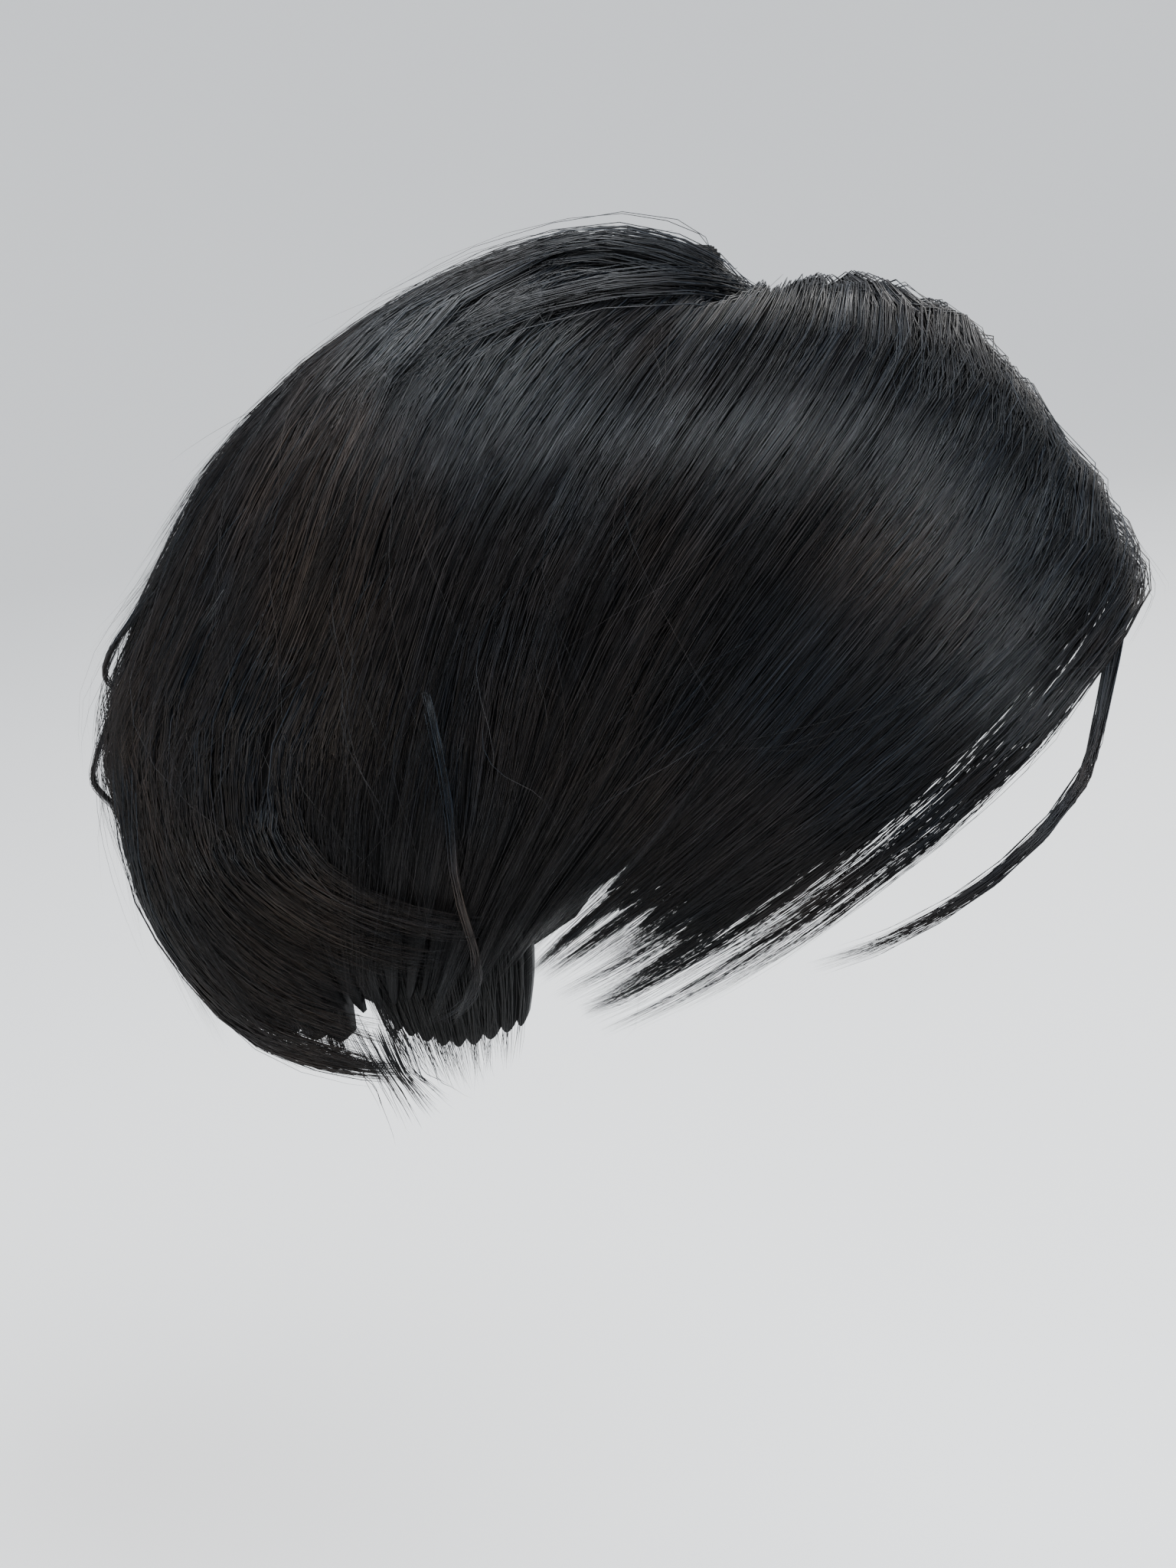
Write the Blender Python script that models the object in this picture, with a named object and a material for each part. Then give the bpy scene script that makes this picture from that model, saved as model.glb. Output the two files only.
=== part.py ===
"""Short layered wig with a left side part and a long side-swept fringe, in the form it takes on a head.

Metres, +Z up, -Y to the front of the head, +X to the wearer's left. The origin is the inside of
the cap at the top of the head. Hair is built over a head form: a direction from the form's middle,
as shares (left, back, up), and a lift off the form give each point. A section of hair is a closed
body of locks side by side, from its roots at the part to pointed tips.
"""

import math
from collections import namedtuple

import bmesh
import bpy
from mathutils import Vector

head_half_breadth = 0.075
head_half_length = 0.095
head_top_height = 0.095
head_low_height = 0.120

cap_wall = 0.002
hair_clearance = 0.0009
seam_gap = 0.0006
hair_depth = 0.020
under_hair_depth = 0.0055
root_thickness = 0.056
tip_thickness = 0.0022
lock_ridge = 0.0030
face_lock_width = 0.0060
face_lock_thickness = 0.0040

# How far a lock's edges stop short of its tip, as a share of the lock's length.
lock_notch = 0.14
under_notch = 0.10

CAP_STEPS_AROUND = 40
CAP_RINGS = 10
ROWS_ALONG = 13
COLUMNS_PER_LOCK = 4
UNDER_ROWS_ALONG = 7
FACE_LOCK_ROWS = 18
FACE_LOCK_COLUMNS = 3
SEAM_PROBE = 0.02

# How far hair sinks between its locks at most, as a share of its depth.
TOP_RIDGE = 0.33
UNDER_RIDGE = 0.25

# Places along the fringe's edge that the face lock lies against, counted as a guide's places are,
# and how much narrower its tip is than its root.
FACE_LOCK_SEATS = (1.0, 1.2, 1.4)
FACE_LOCK_TAPER = 0.55

# Power of a section's thinning from its roots to its tips.
THINNING = 1.4

# The under hair starts below this share of the head's height, and the hair over it makes room.
UNDER_HAIR_TOP = 0.56
UNDER_HAIR_FULL = 0.24

Rim = namedtuple("Rim", "around up")
Place = namedtuple("Place", "left back up depth")
Guide = namedtuple("Guide", "name root crown side low tip")
Section = namedtuple("Section", "node first last locks colour")
UnderSection = namedtuple("UnderSection", "node guides locks colour")

# Height of the cap's rim at each bearing from the front, in degrees, as shares of the head form.
cap_rim = (
    Rim(0, 0.46),
    Rim(30, 0.40),
    Rim(58, 0.14),
    Rim(78, -0.12),
    Rim(92, -0.30),
    Rim(112, -0.24),
    Rim(135, -0.33),
    Rim(158, -0.43),
    Rim(180, -0.46),
)

# Strands that lead the top hair, in order round the part, from the fringe's edge by the right
# side and the back to the left temple. Each place is a direction in shares of the head form, and
# the depth of hair there as a share of hair_depth.
top_guides = (
    Guide(
        "fringe edge",
        Place(0.26, -0.84, 0.50, 1.80),
        Place(0.22, -0.95, 0.33, 2.35),
        Place(-0.14, -0.96, 0.25, 2.30),
        Place(-0.58, -0.81, -0.02, 0.95),
        Place(-0.90, -0.38, -0.28, 0.15),
    ),
    Guide(
        "fringe",
        Place(0.24, -0.70, 0.67, 2.10),
        Place(0.02, -0.88, 0.48, 2.60),
        Place(-0.52, -0.81, 0.24, 1.20),
        Place(-0.82, -0.56, 0.02, 0.60),
        Place(-0.96, -0.26, -0.16, 0.15),
    ),
    Guide(
        "front sweep",
        Place(0.22, -0.56, 0.80, 2.25),
        Place(-0.08, -0.75, 0.66, 2.65),
        Place(-0.62, -0.66, 0.41, 1.05),
        Place(-0.86, -0.46, 0.16, 0.55),
        Place(-0.98, -0.18, -0.12, 0.15),
    ),
    Guide(
        "side front",
        Place(0.20, -0.46, 0.86, 2.00),
        Place(-0.22, -0.56, 0.80, 2.10),
        Place(-0.70, -0.43, 0.55, 1.05),
        Place(-0.92, -0.28, 0.20, 0.50),
        Place(-0.98, -0.04, -0.20, 0.15),
    ),
    Guide(
        "side",
        Place(0.19, -0.38, 0.90, 1.70),
        Place(-0.36, -0.32, 0.88, 1.45),
        Place(-0.81, -0.14, 0.56, 0.85),
        Place(-0.98, -0.06, 0.10, 0.45),
        Place(-0.96, 0.10, -0.26, 0.15),
    ),
    Guide(
        "side back",
        Place(0.19, -0.33, 0.92, 2.05),
        Place(-0.28, -0.02, 0.96, 1.45),
        Place(-0.75, 0.18, 0.63, 0.85),
        Place(-0.90, 0.38, 0.10, 0.45),
        Place(-0.93, 0.22, -0.33, 0.15),
    ),
    Guide(
        "back right",
        Place(0.22, -0.30, 0.93, 2.10),
        Place(-0.10, 0.22, 0.97, 1.35),
        Place(-0.48, 0.56, 0.68, 0.90),
        Place(-0.66, 0.74, 0.08, 0.70),
        Place(-0.82, 0.46, -0.38, 0.15),
    ),
    Guide(
        "back middle",
        Place(0.26, -0.28, 0.92, 1.95),
        Place(0.06, 0.34, 0.94, 1.20),
        Place(-0.06, 0.78, 0.62, 0.90),
        Place(-0.05, 0.99, 0.04, 0.65),
        Place(-0.06, 0.93, -0.36, 0.15),
    ),
    Guide(
        "back left",
        Place(0.30, -0.31, 0.90, 1.65),
        Place(0.32, 0.28, 0.90, 1.10),
        Place(0.44, 0.67, 0.60, 0.85),
        Place(0.60, 0.79, 0.06, 0.55),
        Place(0.72, 0.60, -0.34, 0.15),
    ),
    Guide(
        "left back",
        Place(0.33, -0.36, 0.87, 1.55),
        Place(0.62, 0.08, 0.78, 1.05),
        Place(0.79, 0.38, 0.48, 0.75),
        Place(0.88, 0.46, 0.03, 0.45),
        Place(0.90, 0.30, -0.31, 0.15),
    ),
    Guide(
        "left side",
        Place(0.34, -0.46, 0.82, 1.60),
        Place(0.74, -0.18, 0.65, 1.10),
        Place(0.93, 0.08, 0.34, 0.55),
        Place(0.99, 0.12, -0.06, 0.40),
        Place(0.95, 0.13, -0.29, 0.15),
    ),
    Guide(
        "left front",
        Place(0.34, -0.62, 0.71, 1.65),
        Place(0.73, -0.47, 0.50, 1.15),
        Place(0.92, -0.27, 0.26, 0.55),
        Place(0.99, -0.09, -0.06, 0.35),
        Place(0.96, -0.02, -0.27, 0.15),
    ),
    Guide(
        "left temple",
        Place(0.33, -0.79, 0.52, 1.55),
        Place(0.64, -0.71, 0.30, 0.95),
        Place(0.85, -0.50, 0.08, 0.55),
        Place(0.95, -0.26, -0.14, 0.35),
        Place(0.95, -0.14, -0.29, 0.15),
    ),
)

# Sections of the top hair, each from one guide to another.
top_sections = (
    Section("fringe", 0, 2, 6, (0.012, 0.014, 0.017, 1.0)),
    Section("right_side_hair", 2, 4, 6, (0.016, 0.013, 0.011, 1.0)),
    Section("crown_back_hair", 4, 8, 9, (0.013, 0.015, 0.018, 1.0)),
    Section("left_side_hair", 8, 12, 8, (0.012, 0.012, 0.013, 1.0)),
)

# Where the thin lock that hangs off the fringe's edge goes, over the forehead to its tip.
face_lock_places = (
    Place(-0.02, -0.98, 0.19, 1.80),
    Place(-0.13, -0.99, 0.06, 1.60),
    Place(-0.29, -0.95, -0.02, 1.35),
    Place(-0.41, -0.91, -0.09, 0.95),
    Place(-0.55, -0.82, -0.15, 0.55),
    Place(-0.67, -0.73, -0.18, 0.30),
)

# Hair under the top hair, which shows below it at the nape and in front of the ears. Its depths
# are shares of under_hair_depth.
under_sections = (
    UnderSection(
        "nape_hair",
        (
            (Place(-0.93, 0.30, 0.20, 0.5), Place(-0.92, 0.30, -0.20, 1.0), Place(-0.84, 0.34, -0.42, 0.4)),
            (Place(-0.74, 0.62, 0.26, 0.5), Place(-0.70, 0.66, -0.22, 1.0), Place(-0.58, 0.66, -0.48, 0.4)),
            (Place(0.00, 0.96, 0.30, 0.5), Place(0.00, 0.97, -0.26, 1.0), Place(0.00, 0.86, -0.52, 0.4)),
            (Place(0.74, 0.62, 0.26, 0.5), Place(0.70, 0.66, -0.22, 1.0), Place(0.58, 0.66, -0.48, 0.4)),
            (Place(0.93, 0.30, 0.20, 0.5), Place(0.92, 0.30, -0.20, 1.0), Place(0.84, 0.34, -0.42, 0.4)),
        ),
        9,
        (0.010, 0.010, 0.011, 1.0),
    ),
    UnderSection(
        "right_ear_tab_hair",
        (
            (Place(-0.97, -0.20, 0.12, 0.5), Place(-0.96, -0.20, -0.14, 1.0), Place(-0.93, -0.12, -0.36, 0.4)),
            (Place(-0.98, 0.02, 0.14, 0.5), Place(-0.97, 0.01, -0.18, 1.0), Place(-0.92, 0.02, -0.42, 0.4)),
            (Place(-0.96, 0.20, 0.16, 0.5), Place(-0.95, 0.20, -0.16, 1.0), Place(-0.91, 0.15, -0.38, 0.4)),
        ),
        3,
        (0.010, 0.010, 0.011, 1.0),
    ),
    UnderSection(
        "left_ear_tab_hair",
        (
            (Place(0.96, 0.20, 0.16, 0.5), Place(0.95, 0.20, -0.16, 1.0), Place(0.91, 0.15, -0.38, 0.4)),
            (Place(0.98, 0.02, 0.14, 0.5), Place(0.97, 0.01, -0.18, 1.0), Place(0.92, 0.02, -0.42, 0.4)),
            (Place(0.97, -0.20, 0.12, 0.5), Place(0.96, -0.20, -0.14, 1.0), Place(0.93, -0.12, -0.36, 0.4)),
        ),
        3,
        (0.010, 0.010, 0.011, 1.0),
    ),
)

CAP_COLOUR = (0.010, 0.010, 0.010, 1.0)
CAP_ROUGHNESS = 0.8
HAIR_ROUGHNESS = 0.45


def clear_scene():
    for thing in list(bpy.data.objects):
        bpy.data.objects.remove(thing, do_unlink=True)


def ramp(value, start, end):
    """0 at start and 1 at end, with a smooth rise between."""
    share = min(1.0, max(0.0, (value - start) / (end - start)))
    return share * share * (3 - 2 * share)


def on_head(direction, lift):
    """The point in this direction from the head form's middle, lifted off the form along its normal."""
    across = direction.normalized()
    height = head_top_height if across.z > 0 else head_low_height
    half_sizes = Vector((head_half_breadth, head_half_length, height))
    surface = Vector([share * half for share, half in zip(across, half_sizes)])
    normal = Vector([share / half for share, half in zip(across, half_sizes)]).normalized()
    return surface + normal * lift - Vector((0.0, 0.0, head_top_height))


def blend(values, where):
    """Smooth curve through the values, at where, which counts them from 0."""
    last = len(values) - 1
    index = min(int(where), last - 1)
    share = where - index
    a, b, c, d = (values[min(last, max(0, index + step))] for step in (-1, 0, 1, 2))
    return 0.5 * (
        2 * b + (c - a) * share + (2 * a - 5 * b + 4 * c - d) * share**2 + (3 * b - a - 3 * c + d) * share**3
    )


def place_on(guides, across, along):
    """The direction and the depth share between guides, across counting guides and along places."""
    rows = [blend([Vector(place) for place in guide], along) for guide in guides]
    found = blend(rows, across)
    return Vector(found[:3]), found[3]


def floor_lift(up):
    """Lift of the top hair's underside: on the cap, and further down over the under hair."""
    room = (under_hair_depth + hair_clearance) * (1 - ramp(up, UNDER_HAIR_FULL, UNDER_HAIR_TOP))
    return cap_wall + hair_clearance + room


def material(name, colour, roughness):
    made = bpy.data.materials.new(name)
    made.use_nodes = True
    shader = made.node_tree.nodes["Principled BSDF"]
    shader.inputs["Base Color"].default_value = colour
    shader.inputs["Roughness"].default_value = roughness
    shader.inputs["Metallic"].default_value = 0.0
    return made


def add_object(name, mesh_builder, colour, roughness):
    mesh = bpy.data.meshes.new(name)
    bmesh.ops.recalc_face_normals(mesh_builder, faces=mesh_builder.faces)
    if mesh_builder.calc_volume(signed=True) < 0:
        bmesh.ops.reverse_faces(mesh_builder, faces=mesh_builder.faces)
    mesh_builder.to_mesh(mesh)
    mesh_builder.free()
    mesh.materials.append(material(name, colour, roughness))
    mesh.shade_smooth()
    thing = bpy.data.objects.new(name, mesh)
    bpy.context.scene.collection.objects.link(thing)
    return thing


def shell_from(mesh_builder, outer, inner):
    """Doubles an open sheet, then moves its first side to outer(co) and its second to inner(co)."""
    first = list(mesh_builder.verts)
    doubled = bmesh.ops.extrude_face_region(mesh_builder, geom=mesh_builder.faces[:])
    second = [item for item in doubled["geom"] if isinstance(item, bmesh.types.BMVert)]
    for vert in first:
        vert.co = outer(vert.co)
    for vert in second:
        vert.co = inner(vert.co)


def lock_sheet(name, columns, rows, outer, inner, colour):
    """A closed body over a grid whose x and y run from 0 to 1, across the locks and along them."""
    sheet = bmesh.new()
    bmesh.ops.create_grid(sheet, x_segments=columns, y_segments=rows, size=0.5)
    bmesh.ops.translate(sheet, verts=sheet.verts, vec=(0.5, 0.5, 0.0))
    shell_from(sheet, outer, inner)
    return add_object(name, sheet, colour, HAIR_ROUGHNESS)


def lock_valley(across, locks):
    """0 on the middle line of each lock and 1 on its edges."""
    return (2 * ((across * locks) % 1.0) - 1) ** 2


def away_from_seam(across, position):
    """Draws the first and last column of a sheet in by half a seam, along the surface."""
    if 0 < across < 1:
        return position(across)
    step = SEAM_PROBE if across <= 0 else -SEAM_PROBE
    edge = position(across)
    inward = (position(across + step) - edge).normalized()
    return edge + inward * seam_gap / 2


def build_top_section(section):
    span = section.last - section.first

    def sample(co, side):
        def position(across):
            valley = lock_valley(across, section.locks)
            along = co.y * (1 - lock_notch * valley) * (len(Guide._fields) - 2)
            direction, share = place_on([guide[1:] for guide in top_guides], section.first + across * span, along)
            low = floor_lift(direction.normalized().z)
            depth = share * hair_depth
            high = low + depth - min(lock_ridge, depth * TOP_RIDGE) * valley
            thickness = tip_thickness + (root_thickness - tip_thickness) * (1 - co.y) ** THINNING
            return on_head(direction, high if side == "outer" else max(low, high - thickness))

        return away_from_seam(co.x, position)

    return lock_sheet(
        section.node,
        section.locks * COLUMNS_PER_LOCK,
        ROWS_ALONG,
        lambda co: sample(co, "outer"),
        lambda co: sample(co, "inner"),
        section.colour,
    )


def outward_at(point):
    """The head form's own way outward under this point."""
    off = point + Vector((0.0, 0.0, head_top_height))
    height = head_top_height if off.z > 0 else head_low_height
    return Vector((off.x / head_half_breadth**2, off.y / head_half_length**2, off.z / height**2)).normalized()


def fringe_seat(along):
    """Middle of the face lock where it lies a seam away from the side of the fringe's edge."""

    def edge(across, at):
        direction, share = place_on([guide[1:] for guide in top_guides], across, at)
        return on_head(direction, floor_lift(direction.normalized().z) + share * hair_depth - lock_ridge)

    here = edge(0.0, along)
    outward = outward_at(here)
    away = outward.cross(edge(0.0, along + SEAM_PROBE) - here).normalized()
    if away.dot(edge(SEAM_PROBE, along) - here) > 0:
        away = -away
    return here + away * (seam_gap + face_lock_width / 2) - outward * face_lock_thickness


def build_face_lock():
    route = [fringe_seat(along) for along in FACE_LOCK_SEATS]
    for place in face_lock_places:
        direction = Vector(place[:3])
        route.append(on_head(direction, floor_lift(direction.normalized().z) + place.depth * hair_depth))
    steps = len(route) - 1

    def sample(co, side):
        middle = blend(route, co.y * steps)
        ahead = blend(route, min(1.0, co.y + SEAM_PROBE) * steps) - blend(route, max(0.0, co.y - SEAM_PROBE) * steps)
        sideways = ahead.cross(outward_at(middle)).normalized()
        outward = sideways.cross(ahead).normalized()
        size = 1 - FACE_LOCK_TAPER * co.y
        off = face_lock_thickness / 2 if side == "outer" else -face_lock_thickness / 2
        return middle + (sideways * (co.x - 0.5) * face_lock_width + outward * off) * size

    return lock_sheet(
        "face_lock",
        FACE_LOCK_COLUMNS,
        FACE_LOCK_ROWS,
        lambda co: sample(co, "outer"),
        lambda co: sample(co, "inner"),
        top_sections[0].colour,
    )


def build_under_section(section):
    last_guide = len(section.guides) - 1
    last_place = len(section.guides[0]) - 1

    def sample(co, side):
        valley = lock_valley(co.x, section.locks)
        along = co.y * (1 - under_notch * valley) * last_place
        direction, share = place_on(section.guides, co.x * last_guide, along)
        low = cap_wall + hair_clearance
        high = low + min(1.0, share) * under_hair_depth * (1 - UNDER_RIDGE * valley)
        return on_head(direction, high if side == "outer" else low)

    return lock_sheet(
        section.node,
        section.locks * COLUMNS_PER_LOCK,
        UNDER_ROWS_ALONG,
        lambda co: sample(co, "outer"),
        lambda co: sample(co, "inner"),
        section.colour,
    )


def rim_height(around):
    """Height share of the cap's rim at this bearing from the front, in degrees, alike on both sides."""
    bearing = abs((around + 180) % 360 - 180)
    for before, after in zip(cap_rim, cap_rim[1:]):
        if bearing <= after.around:
            return before.up + (after.up - before.up) * ramp(bearing, before.around, after.around)
    return cap_rim[-1].up


def build_cap():
    """A thin cap over the head form, from a half sphere whose rings are spread down to the rim."""
    cap = bmesh.new()
    bmesh.ops.create_uvsphere(cap, u_segments=CAP_STEPS_AROUND, v_segments=2 * CAP_RINGS, radius=1)
    lower = [vert for vert in cap.verts if vert.co.z < -0.01]
    bmesh.ops.delete(cap, geom=lower, context="VERTS")

    def direction(co):
        around = math.atan2(co.x, -co.y)
        share = math.acos(max(-1.0, min(1.0, co.z))) / (math.pi / 2)
        down = share * math.acos(rim_height(math.degrees(around)))
        return Vector((math.sin(around) * math.sin(down), -math.cos(around) * math.sin(down), math.cos(down)))

    shell_from(
        cap,
        lambda co: on_head(direction(co), cap_wall),
        lambda co: on_head(direction(co), 0.0),
    )
    return add_object("cap", cap, CAP_COLOUR, CAP_ROUGHNESS)


def main():
    clear_scene()
    build_cap()
    for section in top_sections:
        build_top_section(section)
    build_face_lock()
    for section in under_sections:
        build_under_section(section)


main()
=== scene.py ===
"""Looks of a short layered wig: locks and single strands of hair over a stretch cap.

Hair follows the same leading strands as the solids: a direction from the middle of the head form,
as shares (left, back, up), and a depth of hair. Metres, +Z up, -Y to the front.
"""

import math
from collections import namedtuple

import bmesh
import bpy
import numpy as np
from mathutils import Matrix, Vector


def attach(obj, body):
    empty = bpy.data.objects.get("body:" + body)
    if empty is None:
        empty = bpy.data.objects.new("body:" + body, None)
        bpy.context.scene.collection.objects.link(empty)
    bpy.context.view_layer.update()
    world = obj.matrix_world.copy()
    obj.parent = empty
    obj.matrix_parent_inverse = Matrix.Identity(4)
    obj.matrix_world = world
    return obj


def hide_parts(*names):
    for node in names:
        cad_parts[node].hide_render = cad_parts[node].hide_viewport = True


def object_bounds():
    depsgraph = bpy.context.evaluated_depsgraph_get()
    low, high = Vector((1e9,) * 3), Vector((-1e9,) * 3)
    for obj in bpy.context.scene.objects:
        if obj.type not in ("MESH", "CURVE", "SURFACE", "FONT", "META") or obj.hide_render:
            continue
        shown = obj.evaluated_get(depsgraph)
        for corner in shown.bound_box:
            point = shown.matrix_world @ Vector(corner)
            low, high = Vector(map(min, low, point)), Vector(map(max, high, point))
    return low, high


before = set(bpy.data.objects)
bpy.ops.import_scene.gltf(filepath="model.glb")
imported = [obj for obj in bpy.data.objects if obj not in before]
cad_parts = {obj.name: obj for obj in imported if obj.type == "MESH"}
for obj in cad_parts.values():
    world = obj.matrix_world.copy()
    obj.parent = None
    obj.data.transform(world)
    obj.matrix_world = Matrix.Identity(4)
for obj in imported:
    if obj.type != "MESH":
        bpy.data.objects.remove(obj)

bl_info = {
    "name": "Layered wig",
    "version": (1, 0, 0),
    "blender": (4, 5, 0),
    "location": "3D View > Sidebar > Wig",
    "description": "Dresses the packed wig with locks, strands and loose hairs",
    "category": "Object",
}

CAD_LOW, CAD_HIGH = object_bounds()

# The head form and the hair's depths, in metres, as the solids have them.
HEAD_HALF_BREADTH = 0.075
HEAD_HALF_LENGTH = 0.095
HEAD_TOP_HEIGHT = 0.095
HEAD_LOW_HEIGHT = 0.120
CAP_WALL = 0.002
HAIR_CLEARANCE = 0.0009
HAIR_DEPTH = 0.020
UNDER_HAIR_DEPTH = 0.0055
UNDER_HAIR_TOP = 0.56
UNDER_HAIR_FULL = 0.24
ROOT_THICKNESS = 0.056
TIP_THICKNESS = 0.0022
THINNING = 1.4
LOCK_NOTCH = 0.14

# The part, as directions: its back end is the whorl, its front end the hairline.
PART_BACK = (0.25, -0.38, 0.90)
PART_FRONT = (0.29, -0.83, 0.50)

# Leading strands of the top hair, from the fringe's edge by the right side and the back to the
# left temple. Columns: left, back, up, depth share, at five places from root to tip.
TOP_GUIDES = np.array([
    [(0.26, -0.84, 0.50, 1.80), (0.22, -0.95, 0.33, 2.35), (-0.14, -0.96, 0.25, 2.30),
     (-0.58, -0.81, -0.02, 0.95), (-0.90, -0.38, -0.28, 0.15)],
    [(0.24, -0.70, 0.67, 2.10), (0.02, -0.88, 0.48, 2.60), (-0.52, -0.81, 0.24, 1.20),
     (-0.82, -0.56, 0.02, 0.60), (-0.96, -0.26, -0.16, 0.15)],
    [(0.22, -0.56, 0.80, 2.25), (-0.08, -0.75, 0.66, 2.65), (-0.62, -0.66, 0.41, 1.05),
     (-0.86, -0.46, 0.16, 0.55), (-0.98, -0.18, -0.12, 0.15)],
    [(0.20, -0.46, 0.86, 2.00), (-0.22, -0.56, 0.80, 2.10), (-0.70, -0.43, 0.55, 1.05),
     (-0.92, -0.28, 0.20, 0.50), (-0.98, -0.04, -0.20, 0.15)],
    [(0.19, -0.38, 0.90, 1.70), (-0.36, -0.32, 0.88, 1.45), (-0.81, -0.14, 0.56, 0.85),
     (-0.98, -0.06, 0.10, 0.45), (-0.96, 0.10, -0.26, 0.15)],
    [(0.19, -0.33, 0.92, 2.05), (-0.28, -0.02, 0.96, 1.45), (-0.75, 0.18, 0.63, 0.85),
     (-0.90, 0.38, 0.10, 0.45), (-0.93, 0.22, -0.33, 0.15)],
    [(0.22, -0.30, 0.93, 2.10), (-0.10, 0.22, 0.97, 1.35), (-0.48, 0.56, 0.68, 0.90),
     (-0.66, 0.74, 0.08, 0.70), (-0.82, 0.46, -0.38, 0.15)],
    [(0.26, -0.28, 0.92, 1.95), (0.06, 0.34, 0.94, 1.20), (-0.06, 0.78, 0.62, 0.90),
     (-0.05, 0.99, 0.04, 0.65), (-0.06, 0.93, -0.36, 0.15)],
    [(0.30, -0.31, 0.90, 1.65), (0.32, 0.28, 0.90, 1.10), (0.44, 0.67, 0.60, 0.85),
     (0.60, 0.79, 0.06, 0.55), (0.72, 0.60, -0.34, 0.15)],
    [(0.33, -0.36, 0.87, 1.55), (0.62, 0.08, 0.78, 1.05), (0.79, 0.38, 0.48, 0.75),
     (0.88, 0.46, 0.03, 0.45), (0.90, 0.30, -0.31, 0.15)],
    [(0.34, -0.46, 0.82, 1.60), (0.74, -0.18, 0.65, 1.10), (0.93, 0.08, 0.34, 0.55),
     (0.99, 0.12, -0.06, 0.40), (0.95, 0.13, -0.29, 0.15)],
    [(0.34, -0.62, 0.71, 1.65), (0.73, -0.47, 0.50, 1.15), (0.92, -0.27, 0.26, 0.55),
     (0.99, -0.09, -0.06, 0.35), (0.96, -0.02, -0.27, 0.15)],
    [(0.33, -0.79, 0.52, 1.55), (0.64, -0.71, 0.30, 0.95), (0.85, -0.50, 0.08, 0.55),
     (0.95, -0.26, -0.14, 0.35), (0.95, -0.14, -0.29, 0.15)],
])

# Leading strands of the under hair, at three places from root to tip. Depth is a share of the
# under hair's depth.
UNDER_GUIDES = {
    "nape_hair": np.array([
        [(-0.93, 0.30, 0.20, 0.5), (-0.92, 0.30, -0.20, 1.0), (-0.84, 0.34, -0.42, 0.4)],
        [(-0.74, 0.62, 0.26, 0.5), (-0.70, 0.66, -0.22, 1.0), (-0.58, 0.66, -0.48, 0.4)],
        [(0.00, 0.96, 0.30, 0.5), (0.00, 0.97, -0.26, 1.0), (0.00, 0.86, -0.52, 0.4)],
        [(0.74, 0.62, 0.26, 0.5), (0.70, 0.66, -0.22, 1.0), (0.58, 0.66, -0.48, 0.4)],
        [(0.93, 0.30, 0.20, 0.5), (0.92, 0.30, -0.20, 1.0), (0.84, 0.34, -0.42, 0.4)],
    ]),
    "right_ear_tab_hair": np.array([
        [(-0.97, -0.20, 0.12, 0.5), (-0.96, -0.20, -0.14, 1.0), (-0.93, -0.12, -0.36, 0.4)],
        [(-0.98, 0.02, 0.14, 0.5), (-0.97, 0.01, -0.18, 1.0), (-0.92, 0.02, -0.42, 0.4)],
        [(-0.96, 0.20, 0.16, 0.5), (-0.95, 0.20, -0.16, 1.0), (-0.91, 0.15, -0.38, 0.4)],
    ]),
    "left_ear_tab_hair": np.array([
        [(0.96, 0.20, 0.16, 0.5), (0.95, 0.20, -0.16, 1.0), (0.91, 0.15, -0.38, 0.4)],
        [(0.98, 0.02, 0.14, 0.5), (0.97, 0.01, -0.18, 1.0), (0.92, 0.02, -0.42, 0.4)],
        [(0.97, -0.20, 0.12, 0.5), (0.96, -0.20, -0.14, 1.0), (0.93, -0.12, -0.36, 0.4)],
    ]),
}

# Leading strands of the layer that turns forward at the lower back and right, from the outline
# inwards. Columns: left, back, up, and the lift off the head form in metres.
TURN_GUIDES = np.array([
    [(-0.46, 0.60, 0.66, 0.0215), (-0.60, 0.70, 0.38, 0.0215), (-0.68, 0.72, 0.08, 0.0210),
     (-0.70, 0.70, -0.12, 0.0195), (-0.80, 0.52, -0.27, 0.0160), (-0.91, 0.27, -0.33, 0.0130),
     (-0.93, 0.10, -0.37, 0.0110)],
    [(-0.58, 0.50, 0.64, 0.0215), (-0.68, 0.60, 0.42, 0.0215), (-0.74, 0.64, 0.18, 0.0205),
     (-0.80, 0.58, -0.02, 0.0190), (-0.88, 0.42, -0.13, 0.0170), (-0.95, 0.24, -0.19, 0.0150),
     (-0.98, 0.06, -0.22, 0.0135)],
    [(-0.72, 0.32, 0.62, 0.0205), (-0.80, 0.42, 0.42, 0.0205), (-0.84, 0.46, 0.22, 0.0195),
     (-0.88, 0.44, 0.06, 0.0185), (-0.95, 0.28, -0.04, 0.0175), (-0.99, 0.08, -0.09, 0.0165),
     (-0.99, -0.10, -0.10, 0.0160)],
    [(-0.84, 0.12, 0.52, 0.0200), (-0.90, 0.22, 0.36, 0.0200), (-0.93, 0.26, 0.22, 0.0190),
     (-0.96, 0.22, 0.11, 0.0185), (-0.99, 0.09, 0.03, 0.0180), (-0.99, -0.08, -0.01, 0.0175),
     (-0.97, -0.22, -0.02, 0.0170)],
])

# Underlying locks: the node each set replaces, the guides it runs between, how far towards the
# tips it reaches, and its count of locks.
LockSet = namedtuple("LockSet", "node first last reach locks slot")
LOCK_SETS = (
    LockSet("fringe", 0.62, 2.0, 0.84, 9, "fringe_hair"),
    LockSet("right_side_hair", 2.0, 4.0, 0.94, 12, "side_hair"),
    LockSet("crown_back_hair", 4.0, 8.0, 0.93, 18, "crown_hair"),
    LockSet("left_side_hair", 8.0, 12.0, 0.94, 16, "side_hair"),
)

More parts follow.
